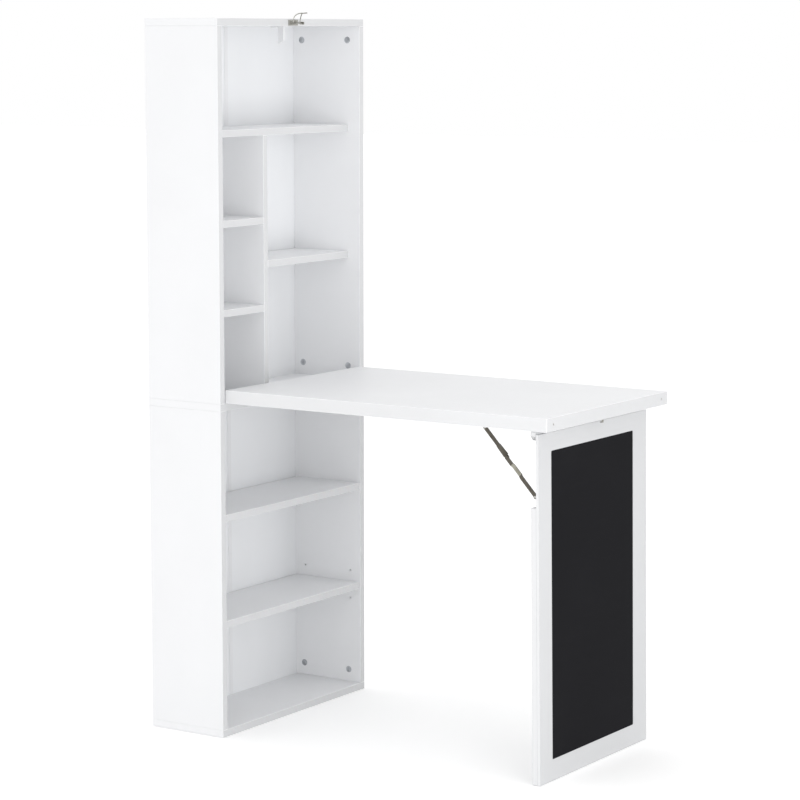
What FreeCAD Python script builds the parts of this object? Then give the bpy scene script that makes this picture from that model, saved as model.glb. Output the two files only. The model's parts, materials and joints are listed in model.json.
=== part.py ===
import FreeCAD, Part

import math
import os

# A secretary desk: a narrow bookcase of two stacked carcasses, with a desk flap that folds up into the upper
# one. A leg panel hinges under the flap's free end, stays hold the leg open, and a toggle latch on the top
# board holds the flap shut. Millimetres. X runs to the right, Y to the back, Z up. The floor is z = 0, the
# carcass fronts are y = 0 and x = 0 is the middle. The flap is modelled open, with its leg on the floor.

# ---------------------------------------------------------------- driving sizes
WIDTH = 540.0
DEPTH = 192.0
HEIGHT = 1530.0
BOARD = 16.0
SHELF = 15.0
MIDDLE_TOP = 722.0

# back panels, in grooves
BACK = 3.0
BACK_INSET = 8.0
GROOVE = 6.0
GROOVE_END_GAP = 0.5
JOINER_FLANGE = 12.0
JOINER_SKIN = 0.8
JOINER_WEB = 1.2
SHELF_TO_BACK = 1.2

# shelves of the lower carcass, by the height of their tops
FIXED_SHELF_TOP = 482.0
ADJUSTABLE_SHELF_TOP = 252.0
SHELF_SETBACK = 2.0
ADJUSTABLE_SHELF_PLAY = 1.0
PIN_DIAMETER = 5.0
PIN_LENGTH = 18.0
PIN_HOLE_DEPTH = 10.0
PIN_PITCH = 32.0
PIN_FROM_FRONT = 27.5
PIN_FROM_BACK = 38.0
PIN_SLOT_PLAY = 0.2

# shelves of the upper carcass, by the height of their undersides
UPPER_SHELF_BOTTOM = 1281.0
LEFT_UPPER_BOTTOM = 1090.0
LEFT_LOWER_BOTTOM = 900.0
RIGHT_SHELF_BOTTOM = 996.0
LEFT_BAY = 185.5

# desk flap
DESK = 28.0
DESK_SIDE_GAP = 2.0
DESK_HEAD_GAP = 2.3
DESK_LIFT = 0.3
FLAP_TO_SHELVES = 3.2
END_SCREW_INSET = 27.0

# leg panel: a thin panel with battens and rails behind it
LEG_INSET = 28.0
LEG_SETBACK = 35.5
LEG_PANEL = 6.0
LEG_BATTEN = 12.0
LEG_BATTEN_WIDTH = 24.0
LEG_PANEL_TOP_GAP = 11.0
LEG_RAIL_TOP_GAP = 5.3
LEG_RAIL_HEIGHT = 18.0
LEG_FOOT_RAIL = 24.0
LEG_LEAN = 0.8
BATTEN_TOP_DROP = 158.0
BOARD_FACE_LEFT_BORDER = 50.0
BOARD_FACE_RIGHT_BORDER = 59.0
BOARD_FACE_BOTTOM = 44.0
BOARD_FACE_TOP_DROP = 46.5
BOARD_FACE_RADIUS = 3.0
BOARD_FACE_THICKNESS = 1.2
BOARD_FACE_POCKET = 1.5

# butt hinges, the same for the desk and the leg
HINGE_LENGTH = 50.0
HINGE_LEAF = 20.0
HINGE_THICKNESS = 1.2
HINGE_SCREW_OUT = 13.0
HINGE_SCREW_PITCH = 18.0
KNUCKLE_RADIUS = 1.75
KNUCKLES = 5
KNUCKLE_PLAY = 0.1
KNUCKLE_NOTCH = 0.3
HINGE_PIN_RADIUS = 0.9
RUNNING_PLAY = 0.05
DESK_HINGE_X = (-180.0, 0.0, 180.0)
LEG_HINGE_X = (-150.0, 150.0)

# folding stays
STAY_INSET = 12.0
STAY_DESK_REACH = 112.0
STAY_LEG_REACH = 135.0
STAY_BAR = 8.0
STAY_THICKNESS = 2.0
STAY_HALF_GAP = 0.7
STAY_LUG = 1.8
STAY_LUG_GAP = 0.15
STAY_RIVET_RADIUS = 1.5
STAY_RIVET_HEAD = 2.8
STAY_RIVET_HEAD_HEIGHT = 0.6
STAY_FROM_DESK = 6.3
STAY_FROM_LEG = 6.0
BRACKET_THICKNESS = 1.5
BRACKET_LENGTH = 24.0
BRACKET_WIDTH = 14.0
BRACKET_SCREW_INSET = 5.0
BRACKET_SCREW_OFFSET = 1.0
SLEEVE_LENGTH = 27.0
SLEEVE_HEIGHT = 11.0
SLEEVE_WALL = 0.8
SLEEVE_PLAY = 0.1
SLEEVE_FROM_JOINT = 4.5

# countersunk screws
SCREW_RADIUS = 1.4
SCREW_HEAD = 2.6
SCREW_SINK = 1.2
SCREW_LENGTH = 13.0
SCREW_CROSS = 3.0
SCREW_CROSS_WIDTH = 0.7
SCREW_CROSS_DEPTH = 0.6
PANEL_SCREW_END_GAP = 0.5
DIVIDER_SCREW_LENGTH = 40.0
DIVIDER_SCREW_SCALE = 1.5

# cam fittings and dowels
CAM_RADIUS = 7.5
CAM_COVER = 1.0
CAM_FROM_TOP = 30.0
CAM_FROM_BOTTOM = 28.0
CAM_FROM_FRONT = 33.0
CAM_FROM_BACK = 34.0
CAM_SLOT = 1.4
CAM_SLOT_LENGTH = 10.5
CAM_SLOT_DEPTH = 1.2
BOLT_RADIUS = 3.0
BOLT_NECK = 2.5
BOLT_HEAD = 3.5
BOLT_HEAD_LENGTH = 4.0
BOLT_GRIP = 7.5
DOWEL_RADIUS = 4.0
DOWEL_SHORT = 7.5
DOWEL_LONG = 22.0
DOWEL_INSET = 14.0

# flap stop
STOP_X = 12.0
STOP_WIDTH = 7.0
STOP_DEPTH = 15.0
STOP_DROP = 37.0
STOP_TIP = 6.0
STOP_FLANGE = 3.0
STOP_FLANGE_DEPTH = 15.0
STOP_FLANGE_WIDTH = 22.0

# toggle latch
LATCH_WIDTH = 34.0
LATCH_HEIGHT = 12.0
LATCH_BASE = 1.5
LATCH_DROP = 3.0
LATCH_PIVOT_OUT = 4.0
LATCH_CHEEK_X = 6.6
LATCH_SHEET = 1.4
LATCH_GAP = 0.3
LATCH_LUG_RADIUS = 2.6
LATCH_PIN_RADIUS = 1.0
LATCH_SCREW_INSET = 3.2
LEVER_LENGTH = 18.0
LEVER_HALF_DEPTH = 2.2
LEVER_WEB = 0.8
LEVER_WEB_START = 5.0
LEVER_SWING = 70.0
BAIL_ARM = 6.0
BAIL_WIRE = 1.1
BAIL_HALF_WIDTH = 11.5
BAIL_TIP_HALF_WIDTH = 5.0
BAIL_RISE = 40.0
BAIL_SHOULDER = 0.42
BAIL_NECK = 0.76
KEEPER_HALF_WIDTH = 3.0
KEEPER_SHEET = 2.0
KEEPER_DEPTH = 10.3
KEEPER_FROM_END = 16.5
KEEPER_TIP = 3.5
KEEPER_BASE = 1.2
KEEPER_BASE_WIDTH = 14.0
KEEPER_BASE_LENGTH = 22.0
KEEPER_OFFSET = 1.0
KEEPER_SCREW_INSET = 3.4
KEEPER_TO_WIRE = 0.3

# ---------------------------------------------------------------- values that follow from them
HALF = WIDTH / 2
INNER = HALF - BOARD
TOP_UNDER = HEIGHT - BOARD
MIDDLE_BOTTOM = MIDDLE_TOP - BOARD
BACK_REAR = DEPTH - BACK_INSET
BACK_FRONT = BACK_REAR - BACK
SHELF_REAR = BACK_FRONT - SHELF_TO_BACK
ADJUSTABLE_PIN_Z = ADJUSTABLE_SHELF_TOP - SHELF / 2
CAM_DEPTH = BOARD / 2 + BOLT_HEAD + CAM_COVER
DIVIDER_LEFT = -INNER + LEFT_BAY
DIVIDER_RIGHT = DIVIDER_LEFT + SHELF
HINGE_Y = KNUCKLE_RADIUS
HINGE_Z = MIDDLE_TOP + KNUCKLE_RADIUS
DESK_UNDER = MIDDLE_TOP + DESK_LIFT
DESK_HALF = INNER - DESK_SIDE_GAP
DESK_SWING = TOP_UNDER - HINGE_Z - DESK_HEAD_GAP
DESK_LENGTH = DESK_SWING - KNUCKLE_RADIUS
UPPER_FRONT = DESK + FLAP_TO_SHELVES
LEG_HALF = DESK_HALF - LEG_INSET
LEG_FRONT = -DESK_LENGTH + LEG_SETBACK
LEG_PANEL_BACK = LEG_FRONT + LEG_PANEL
LEG_BACK = LEG_PANEL_BACK + LEG_BATTEN
LEG_HINGE_Y = LEG_BACK + KNUCKLE_RADIUS
LEG_HINGE_Z = DESK_UNDER - KNUCKLE_RADIUS
PANEL_SCREW_LENGTH = BRACKET_THICKNESS + LEG_PANEL - BOARD_FACE_POCKET - PANEL_SCREW_END_GAP
LEAN = math.radians(LEG_LEAN)
LEG_FOOT = LEG_HINGE_Z - (LEG_HINGE_Z + KNUCKLE_RADIUS * math.sin(LEAN)) / math.cos(LEAN)
STAY_X = LEG_HALF - STAY_INSET
STAY_DESK = (LEG_HINGE_Y + STAY_DESK_REACH, DESK_UNDER - STAY_FROM_DESK)
STAY_LEG = (LEG_PANEL_BACK + STAY_FROM_LEG, LEG_HINGE_Z - STAY_LEG_REACH)

X_AXIS = FreeCAD.Vector(1, 0, 0)
Y_AXIS = FreeCAD.Vector(0, 1, 0)
Z_AXIS = FreeCAD.Vector(0, 0, 1)
UP = (0, 0, 1)
DOWN = (0, 0, -1)
LEFT = (-1, 0, 0)
RIGHT = (1, 0, 0)
FRONT = (0, -1, 0)
REAR = (0, 1, 0)


# ---------------------------------------------------------------- shared shapes
def box(x0, y0, z0, x1, y1, z1):
    """A box between two corners."""
    return Part.makeBox(x1 - x0, y1 - y0, z1 - z0, FreeCAD.Vector(x0, y0, z0))


def rod(x, y, z, direction, length, radius):
    """A round bar that starts at a point and runs along a direction."""
    return Part.makeCylinder(radius, length, FreeCAD.Vector(x, y, z), FreeCAD.Vector(*direction))


def tube_across(y, z, x0, x1, radius):
    """A round bar along X."""
    return rod(x0, y, z, RIGHT, x1 - x0, radius)


def joined(shapes):
    """One solid from touching shapes."""
    result = shapes[0]
    for shape in shapes[1:]:
        result = result.fuse(shape)
    return result.removeSplitter()


def cut(shape, tools):
    """A shape with every tool taken out of it."""
    for tool in tools:
        if shape.BoundBox.intersect(tool.BoundBox):
            shape = shape.cut(tool)
    return shape


def mirrored(shape):
    """The same shape on the other side of the middle plane."""
    return shape.mirror(FreeCAD.Vector(0, 0, 0), X_AXIS)


def leaned(shape):
    """A leg piece, turned about the leg's hinge so that the foot stands a little forward."""
    turned = shape.copy()
    turned.rotate(FreeCAD.Vector(0, LEG_HINGE_Y, LEG_HINGE_Z), X_AXIS, -LEG_LEAN)
    return turned


def lean_point(point):
    """A leg point in the plane of the stays, after the lean."""
    y = point[0] - LEG_HINGE_Y
    z = point[1] - LEG_HINGE_Z
    return (LEG_HINGE_Y + y * math.cos(LEAN) + z * math.sin(LEAN),
            LEG_HINGE_Z - y * math.sin(LEAN) + z * math.cos(LEAN))


def save(name, solids):
    """Writes one node as a STEP file."""
    shape = solids[0] if len(solids) == 1 else Part.makeCompound(solids)
    shape.exportStep(os.path.join("parts", name + ".step"))


# ---------------------------------------------------------------- fasteners
def screw_blank(place, direction, length=SCREW_LENGTH, scale=1.0):
    """A countersunk screw without its cross; its head's face is at the place."""
    x, y, z = place
    dx, dy, dz = direction
    sink = SCREW_SINK * scale
    head = Part.makeCone(SCREW_HEAD * scale, SCREW_RADIUS * scale, sink,
                         FreeCAD.Vector(x, y, z), FreeCAD.Vector(dx, dy, dz))
    start = (x + dx * sink, y + dy * sink, z + dz * sink)
    return joined([head, rod(*start, direction, length - sink, SCREW_RADIUS * scale)])


def cross_recess(place, direction, scale=1.0):
    """The two crossed slots in a screw's head."""
    x, y, z = place
    long = SCREW_CROSS * scale / 2
    thin = SCREW_CROSS_WIDTH * scale / 2
    deep = SCREW_CROSS_DEPTH * scale
    bars = []
    for a, b in ((long, thin), (thin, long)):
        if direction[0]:
            bars.append(box(x - deep, y - a, z - b, x + deep, y + a, z + b))
        elif direction[1]:
            bars.append(box(x - a, y - deep, z - b, x + a, y + deep, z + b))
        else:
            bars.append(box(x - a, y - b, z - deep, x + a, y + b, z + deep))
    return bars


def finished_screws(screws, length=SCREW_LENGTH):
    """The screws of one node, from a list of (place, direction)."""
    return [cut(screw_blank(place, way, length), cross_recess(place, way)) for place, way in screws]


def screw_holes(screws, length=SCREW_LENGTH):
    """What those screws take out of the pieces that they hold."""
    return [screw_blank(place, way, length) for place, way in screws]


def cam_places():
    """Each cam: its side, its height, the way to the board that it pulls, and the distance to that board."""
    places = []
    for side in (-1, 1):
        for y in (CAM_FROM_FRONT, DEPTH - CAM_FROM_BACK):
            places.append((side, y, BOARD + CAM_FROM_BOTTOM, -1, CAM_FROM_BOTTOM))
            places.append((side, y, MIDDLE_BOTTOM - CAM_FROM_TOP, 1, CAM_FROM_TOP))
            places.append((side, y, MIDDLE_TOP + CAM_FROM_BOTTOM, -1, CAM_FROM_BOTTOM))
            places.append((side, y, TOP_UNDER - CAM_FROM_TOP, 1, CAM_FROM_TOP))
    return places


def cam_bolt(place, head_radius=BOLT_HEAD, neck_radius=BOLT_NECK):
    """A bolt screwed into a board's face, with its head in the cam inside the side's edge."""
    side, y, z, way, reach = place
    x = side * (INNER + BOARD / 2)
    direction = (0, 0, way)
    head = rod(x, y, z - way * BOLT_HEAD_LENGTH / 2, direction, BOLT_HEAD_LENGTH, head_radius)
    neck = rod(x, y, z, direction, reach, neck_radius)
    grip = rod(x, y, z + way * reach, direction, BOLT_GRIP, BOLT_RADIUS)
    return joined([head, neck, grip])


def cam_lock(place):
    """A round cam in the side's inner face, slotted for a screwdriver and bored for the bolt's head."""
    side, y, z, way, reach = place
    body = rod(side * INNER, y, z, (side, 0, 0), CAM_DEPTH, CAM_RADIUS)
    face = side * INNER
    reach_in = side * CAM_SLOT_DEPTH
    x0, x1 = sorted((face, face + reach_in))
    arm = CAM_SLOT_LENGTH / 2
    thin = CAM_SLOT / 2
    slots = [box(x0, y - arm, z - thin, x1, y + arm, z + thin),
             box(x0, y - thin, z - arm, x1, y + thin, z + arm)]
    x = side * (INNER + BOARD / 2)
    bore = rod(x, y, z - way * BOLT_HEAD_LENGTH / 2, (0, 0, way), CAM_RADIUS * 2, BOLT_HEAD)
    return cut(body, slots + [bore])


def cam_pocket(place):
    """What a cam and its bolt take out of the boards."""
    side, y, z, way, reach = place
    x = side * (INNER + BOARD / 2)
    pocket = rod(side * INNER, y, z, (side, 0, 0), CAM_DEPTH, CAM_RADIUS)
    neck = rod(x, y, z, (0, 0, way), reach, BOLT_HEAD)
    grip = rod(x, y, z + way * reach, (0, 0, way), BOLT_GRIP, BOLT_RADIUS)
    return [pocket, neck, grip]


def dowel(place, direction):
    """A wooden dowel across a joint: the short end points along the direction, the long end away from it."""
    x, y, z = place
    dx, dy, dz = direction
    start = (x - dx * DOWEL_LONG, y - dy * DOWEL_LONG, z - dz * DOWEL_LONG)
    return rod(*start, direction, DOWEL_LONG + DOWEL_SHORT, DOWEL_RADIUS)


def carcass_dowels():
    """One dowel in the middle of every joint between a side and a board."""
    dowels = []
    for side in (-1, 1):
        x = side * (INNER + BOARD / 2)
        y = (CAM_FROM_FRONT + DEPTH - CAM_FROM_BACK) / 2
        for z, way in ((BOARD, DOWN), (MIDDLE_BOTTOM, UP), (MIDDLE_TOP, DOWN), (TOP_UNDER, UP)):
            dowels.append(dowel((x, y, z), way))
    return dowels


def shelf_dowels(x, way, bottom, front):
    """Two dowels from a shelf's end into the board beside it."""
    z = bottom + SHELF / 2
    return [dowel((x, y, z), way) for y in (front + DOWEL_INSET, SHELF_REAR - DOWEL_INSET)]


def all_shelf_dowels():
    """The dowels of every fixed shelf and of the divider."""
    fixed_bottom = FIXED_SHELF_TOP - SHELF
    dowels = shelf_dowels(-INNER, LEFT, fixed_bottom, SHELF_SETBACK)
    dowels += shelf_dowels(INNER, RIGHT, fixed_bottom, SHELF_SETBACK)
    dowels += shelf_dowels(-INNER, LEFT, UPPER_SHELF_BOTTOM, UPPER_FRONT)
    dowels += shelf_dowels(INNER, RIGHT, UPPER_SHELF_BOTTOM, UPPER_FRONT)
    dowels += shelf_dowels(-INNER, LEFT, LEFT_UPPER_BOTTOM, UPPER_FRONT)
    dowels += shelf_dowels(-INNER, LEFT, LEFT_LOWER_BOTTOM, UPPER_FRONT)
    dowels += shelf_dowels(INNER, RIGHT, RIGHT_SHELF_BOTTOM, UPPER_FRONT)
    dowels += shelf_dowels(DIVIDER_RIGHT, LEFT, RIGHT_SHELF_BOTTOM, UPPER_FRONT)
    x = (DIVIDER_LEFT + DIVIDER_RIGHT) / 2
    for y in (UPPER_FRONT + DOWEL_INSET, SHELF_REAR - DOWEL_INSET):
        dowels.append(dowel((x, y, MIDDLE_TOP), DOWN))
        dowels.append(dowel((x, y, UPPER_SHELF_BOTTOM), UP))
    return dowels


def divider_screw_places():
    """Screws through the divider's right face into the ends of the two left shelves."""
    places = []
    for bottom in (LEFT_UPPER_BOTTOM, LEFT_LOWER_BOTTOM):
        for y in (UPPER_FRONT + DOWEL_INSET, SHELF_REAR - DOWEL_INSET):
            places.append(((DIVIDER_RIGHT, y, bottom + SHELF / 2), LEFT))
    return places


# ---------------------------------------------------------------- carcass
def back_grooves():
    """The grooves that hold the back panels, cut in the sides and in the boards above and below them."""
    grooves = []
    side = INNER + GROOVE
    for low, high in ((BOARD, MIDDLE_BOTTOM), (MIDDLE_TOP, TOP_UNDER)):
        grooves.append(box(-side, BACK_FRONT, low - GROOVE, side, BACK_REAR, high + GROOVE))
    return grooves


def shelf_pin_columns():
    """The places of the shelf pins in Y."""
    return (PIN_FROM_FRONT, DEPTH - PIN_FROM_BACK)


def shelf_pin_holes():
    """Three rows of pin holes in each lower side: the row in use, one above and one below."""
    holes = []
    for step in (-1, 0, 1):
        for y in shelf_pin_columns():
            z = ADJUSTABLE_PIN_Z + step * PIN_PITCH
            reach = INNER + PIN_HOLE_DEPTH
            holes.append(tube_across(y, z, -reach, -INNER, PIN_DIAMETER / 2))
            holes.append(tube_across(y, z, INNER, reach, PIN_DIAMETER / 2))
    return holes


def shelf_pins():
    """Four steel pins under the adjustable shelf."""
    pins = []
    for y in shelf_pin_columns():
        right = tube_across(y, ADJUSTABLE_PIN_Z, INNER + PIN_HOLE_DEPTH - PIN_LENGTH, INNER + PIN_HOLE_DEPTH,
                            PIN_DIAMETER / 2)
        pins += [mirrored(right), right]
    return pins


def adjustable_shelf():
    """A loose shelf whose ends are slotted from below, so that it drops over its pins and hides them."""
    end = INNER - ADJUSTABLE_SHELF_PLAY
    bottom = ADJUSTABLE_SHELF_TOP - SHELF
    shelf = box(-end, SHELF_SETBACK, bottom, end, SHELF_REAR, ADJUSTABLE_SHELF_TOP)
    half = PIN_DIAMETER / 2 + PIN_SLOT_PLAY / 2
    pin_top = ADJUSTABLE_PIN_Z + PIN_DIAMETER / 2
    slot_end = INNER + PIN_HOLE_DEPTH - PIN_LENGTH - PIN_SLOT_PLAY
    slots = []
    for y in shelf_pin_columns():
        right = box(slot_end, y - half, bottom, end, y + half, pin_top)
        slots += [mirrored(right), right]
    return cut(shelf, slots)


def back_half(low, high):
    """The left half of a carcass's back panel, in its grooves, short of the joining strip's web."""
    side = INNER + GROOVE - GROOVE_END_GAP
    return box(-side, BACK_FRONT, low - GROOVE + GROOVE_END_GAP,
               -JOINER_WEB / 2, BACK_REAR, high + GROOVE - GROOVE_END_GAP)


def back_joiner(low, high):
    """The H-shaped strip that joins the two halves of a back."""
    half = JOINER_FLANGE / 2
    web = box(-JOINER_WEB / 2, BACK_FRONT, low, JOINER_WEB / 2, BACK_REAR, high)
    front = box(-half, BACK_FRONT - JOINER_SKIN, low, half, BACK_FRONT, high)
    rear = box(-half, BACK_REAR, low, half, BACK_REAR + JOINER_SKIN, high)
    return joined([front, web, rear])


def make_carcass(screws):
    """Boards, shelves, backs and the fasteners between them."""
    cams = cam_places()
    pockets = [piece for place in cams for piece in cam_pocket(place)]
    dowels = carcass_dowels() + all_shelf_dowels()
    wood_screws = divider_screw_places()
    screw_cuts = [screw_blank(place, way, DIVIDER_SCREW_LENGTH, DIVIDER_SCREW_SCALE)
                  for place, way in wood_screws]
    tools = back_grooves() + pockets + dowels + screw_cuts + shelf_pin_holes() + screw_holes(screws)

    full = (-HALF, 0, HALF, DEPTH)
    boards = {
        "bottom_board": box(full[0], full[1], 0, full[2], full[3], BOARD),
        "middle_board": box(full[0], full[1], MIDDLE_BOTTOM, full[2], full[3], MIDDLE_TOP),
        "top_board": box(full[0], full[1], TOP_UNDER, full[2], full[3], HEIGHT),
        "lower_left_side": box(-HALF, 0, BOARD, -INNER, DEPTH, MIDDLE_BOTTOM),
        "lower_right_side": box(INNER, 0, BOARD, HALF, DEPTH, MIDDLE_BOTTOM),
        "upper_left_side": box(-HALF, 0, MIDDLE_TOP, -INNER, DEPTH, TOP_UNDER),
        "upper_right_side": box(INNER, 0, MIDDLE_TOP, HALF, DEPTH, TOP_UNDER),
        "fixed_shelf": box(-INNER, SHELF_SETBACK, FIXED_SHELF_TOP - SHELF,
                           INNER, SHELF_REAR, FIXED_SHELF_TOP),
        "upper_shelf": shelf_board(-INNER, INNER, UPPER_SHELF_BOTTOM),
        "left_shelf_upper": shelf_board(-INNER, DIVIDER_LEFT, LEFT_UPPER_BOTTOM),
        "left_shelf_lower": shelf_board(-INNER, DIVIDER_LEFT, LEFT_LOWER_BOTTOM),
        "right_shelf": shelf_board(DIVIDER_RIGHT, INNER, RIGHT_SHELF_BOTTOM),
        "divider": box(DIVIDER_LEFT, UPPER_FRONT, MIDDLE_TOP, DIVIDER_RIGHT, SHELF_REAR, UPPER_SHELF_BOTTOM),
    }
    for name, board in boards.items():
        save(name, [cut(board, tools)])

    save("adjustable_shelf", [adjustable_shelf()])
    save("shelf_pins", shelf_pins())
    for name, low, high in (("lower", BOARD, MIDDLE_BOTTOM), ("upper", MIDDLE_TOP, TOP_UNDER)):
        left = back_half(low, high)
        save(name + "_back_left", [left])
        save(name + "_back_right", [mirrored(left)])
        save(name + "_back_joiner", [back_joiner(low, high)])
    save("cam_locks", [cam_lock(place) for place in cams])
    save("cam_bolts", [cam_bolt(place) for place in cams])
    save("dowels", dowels)
    crosses = [piece for place, way in wood_screws for piece in cross_recess(place, way, DIVIDER_SCREW_SCALE)]
    save("divider_screws", [cut(blank, crosses) for blank in screw_cuts])


def shelf_board(left, right, bottom):
    """A fixed shelf of the upper carcass, set back behind the folded flap."""
    return box(left, UPPER_FRONT, bottom, right, SHELF_REAR, bottom + SHELF)


# ---------------------------------------------------------------- hinges
def hinge_leaf(standing, first, bore):
    """One leaf of a butt hinge about the X axis through the origin, with every other knuckle of its barrel.

    A lying leaf rests on the plane below the barrel and a standing leaf on the plane in front of it.
    """
    half = HINGE_LENGTH / 2
    near = -KNUCKLE_RADIUS
    if standing:
        leaf = box(-half, near, 0, half, near + HINGE_THICKNESS, HINGE_LEAF)
    else:
        leaf = box(-half, 0, near, half, HINGE_LEAF, near + HINGE_THICKNESS)
    step = HINGE_LENGTH / KNUCKLES
    reach = KNUCKLE_RADIUS + KNUCKLE_NOTCH
    for index in range(KNUCKLES):
        left = -half + index * step
        if index % 2 != first:
            leaf = leaf.cut(box(left, -reach, -reach, left + step, reach, reach))
    knuckles = []
    for index in range(first, KNUCKLES, 2):
        left = -half + index * step + KNUCKLE_PLAY
        knuckles.append(tube_across(0, 0, left, left + step - 2 * KNUCKLE_PLAY, KNUCKLE_RADIUS))
    return joined([leaf] + knuckles).cut(tube_across(0, 0, -half - 1, half + 1, bore))


def lying_leaf():
    """The leaf that holds the pin tight."""
    return hinge_leaf(False, 0, HINGE_PIN_RADIUS)


def standing_leaf():
    """The leaf that turns on the pin."""
    return hinge_leaf(True, 1, HINGE_PIN_RADIUS + RUNNING_PLAY)


def hinge_pin():
    """The pin through the barrel."""
    return tube_across(0, 0, -HINGE_LENGTH / 2, HINGE_LENGTH / 2, HINGE_PIN_RADIUS)


def flipped(shape):
    """A hinge piece upside down, for a leaf that lies against an underside."""
    return shape.mirror(FreeCAD.Vector(0, 0, 0), Z_AXIS)


def moved(shape, x, y, z):
    """A copy of a shape, moved."""
    copy = shape.copy()
    copy.translate(FreeCAD.Vector(x, y, z))
    return copy


def leaf_screw_places(x, y, z, lying, way):
    """Three screws in a row through a leaf with its barrel at y, z; way is +1 for a leaf above it."""
    out = HINGE_SCREW_OUT
    face = -KNUCKLE_RADIUS + HINGE_THICKNESS
    places = []
    for dx in (-HINGE_SCREW_PITCH, 0, HINGE_SCREW_PITCH):
        if lying:
            places.append(((x + dx, y + out, z + way * face), (0, 0, -way)))
        else:
            places.append(((x + dx, y + face, z + way * out), FRONT))
    return places


# ---------------------------------------------------------------- desk flap
def desk_hinge_screws(lying):
    """The desk hinges' screws into the middle board, or into the desk's end."""
    return [place for x in DESK_HINGE_X for place in leaf_screw_places(x, HINGE_Y, HINGE_Z, lying, 1)]


def leg_hinge_screws(lying):
    """The leg hinges' screws into the desk's underside, or into the leg's top rail."""
    return [place for x in LEG_HINGE_X for place in leaf_screw_places(x, LEG_HINGE_Y, LEG_HINGE_Z, lying, -1)]


def stay_bracket(pivot, lug_left, lug_right, plate_left, face, lug_way):
    """A bracket with a flat plate on a face and one rounded lug to the pivot.

    The face is a height for a plate under the desk, and a Y for a plate on the leg's back.
    """
    y, z = pivot
    half = STAY_BAR / 2
    ear = tube_across(y, z, lug_left, lug_right, half)
    long = BRACKET_LENGTH / 2
    plate_right = plate_left + BRACKET_WIDTH
    if lug_way == "up":
        neck = box(lug_left, y - half, z, lug_right, y + half, face)
        plate = box(plate_left, y - long, face - BRACKET_THICKNESS, plate_right, y + long, face)
    else:
        neck = box(lug_left, face, z - half, lug_right, y, z + half)
        plate = box(plate_left, face, z - long, plate_right, face + BRACKET_THICKNESS, z + long)
    bracket = joined([ear, neck, plate])
    return bracket.cut(tube_across(y, z, lug_left - 1, lug_right + 1, STAY_RIVET_RADIUS))


def stay_planes():
    """The faces of a right-hand stay's parts in X, from the middle of the stay outwards."""
    arm_in = STAY_HALF_GAP
    arm_out = arm_in + STAY_THICKNESS
    lug_in = arm_out + STAY_LUG_GAP
    return arm_in, arm_out, lug_in, lug_in + STAY_LUG


def desk_bracket():
    """The right-hand bracket under the desk."""
    arm_in, arm_out, lug_in, lug_out = stay_planes()
    right = STAY_X - lug_in
    return stay_bracket(STAY_DESK, STAY_X - lug_out, right, right - BRACKET_WIDTH, DESK_UNDER, "up")


def leg_bracket():
    """The right-hand bracket on the leg panel's back, before the lean."""
    arm_in, arm_out, lug_in, lug_out = stay_planes()
    left = STAY_X + lug_in
    outer = STAY_X + lug_out
    return stay_bracket(STAY_LEG, left, outer, outer - BRACKET_WIDTH, LEG_PANEL_BACK, "back")


def stay_rivet(pivot, side):
    """A rivet, tight in a lug, with a running fit in the arm; side is -1 towards the middle of the desk."""
    arm_in, arm_out, lug_in, lug_out = stay_planes()
    inner = arm_in - STAY_LUG_GAP / 2
    ends = sorted((STAY_X + side * (inner - STAY_RIVET_HEAD_HEIGHT), STAY_X + side * inner))
    head = tube_across(*pivot, ends[0], ends[1], STAY_RIVET_HEAD)
    ends = sorted((STAY_X + side * inner, STAY_X + side * lug_out))
    shank = tube_across(*pivot, ends[0], ends[1], STAY_RIVET_RADIUS)
    ends = sorted((STAY_X + side * lug_out, STAY_X + side * (lug_out + STAY_RIVET_HEAD_HEIGHT)))
    far_head = tube_across(*pivot, ends[0], ends[1], STAY_RIVET_HEAD)
    return joined([head, shank, far_head])


def stay_screws(desk):
    """The screws of both desk brackets, or of both leg brackets before the lean."""
    arm_in, arm_out, lug_in, lug_out = stay_planes()
    out = BRACKET_LENGTH / 2 - BRACKET_SCREW_INSET
    places = []
    for side in (-1, 1):
        for step in (-out, out):
            if desk:
                x = side * (STAY_X - lug_in - BRACKET_WIDTH / 2)
                places.append(((x, STAY_DESK[0] + step, DESK_UNDER - BRACKET_THICKNESS), UP))
            else:
                x = side * (STAY_X + lug_out - BRACKET_WIDTH / 2 - BRACKET_SCREW_OFFSET)
                places.append(((x, LEG_PANEL_BACK + BRACKET_THICKNESS, STAY_LEG[1] + step), FRONT))
    return places


def keeper():
    """A hook under the desk's free end for the latch's bail, on a small plate."""
    y = -DESK_LENGTH + KEEPER_FROM_END
    low = DESK_UNDER - KEEPER_DEPTH
    half = KEEPER_HALF_WIDTH
    base_half = KEEPER_BASE_WIDTH / 2
    start = y - KEEPER_BASE_LENGTH / 2 + KEEPER_OFFSET
    base = box(-base_half, start, DESK_UNDER - KEEPER_BASE, base_half, start + KEEPER_BASE_LENGTH, DESK_UNDER)
    arm = box(-half, y - KEEPER_SHEET, low, half, y, DESK_UNDER)
    tip = box(-half, y - KEEPER_SHEET, low, half, y + KEEPER_TIP, low + KEEPER_SHEET)
    return joined([base, arm, tip])


def keeper_screws():
    """Two screws through the keeper's plate."""
    y = -DESK_LENGTH + KEEPER_FROM_END + KEEPER_OFFSET
    out = KEEPER_BASE_LENGTH / 2 - KEEPER_SCREW_INSET
    return [((0, y + step, DESK_UNDER - KEEPER_BASE), UP) for step in (-out, out)]


def desk_end_screws():
    """Two screws in the desk's free end."""
    z = DESK_UNDER + DESK / 2
    x = DESK_HALF - END_SCREW_INSET
    return [((side * x, -DESK_LENGTH, z), REAR) for side in (-1, 1)]


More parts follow.
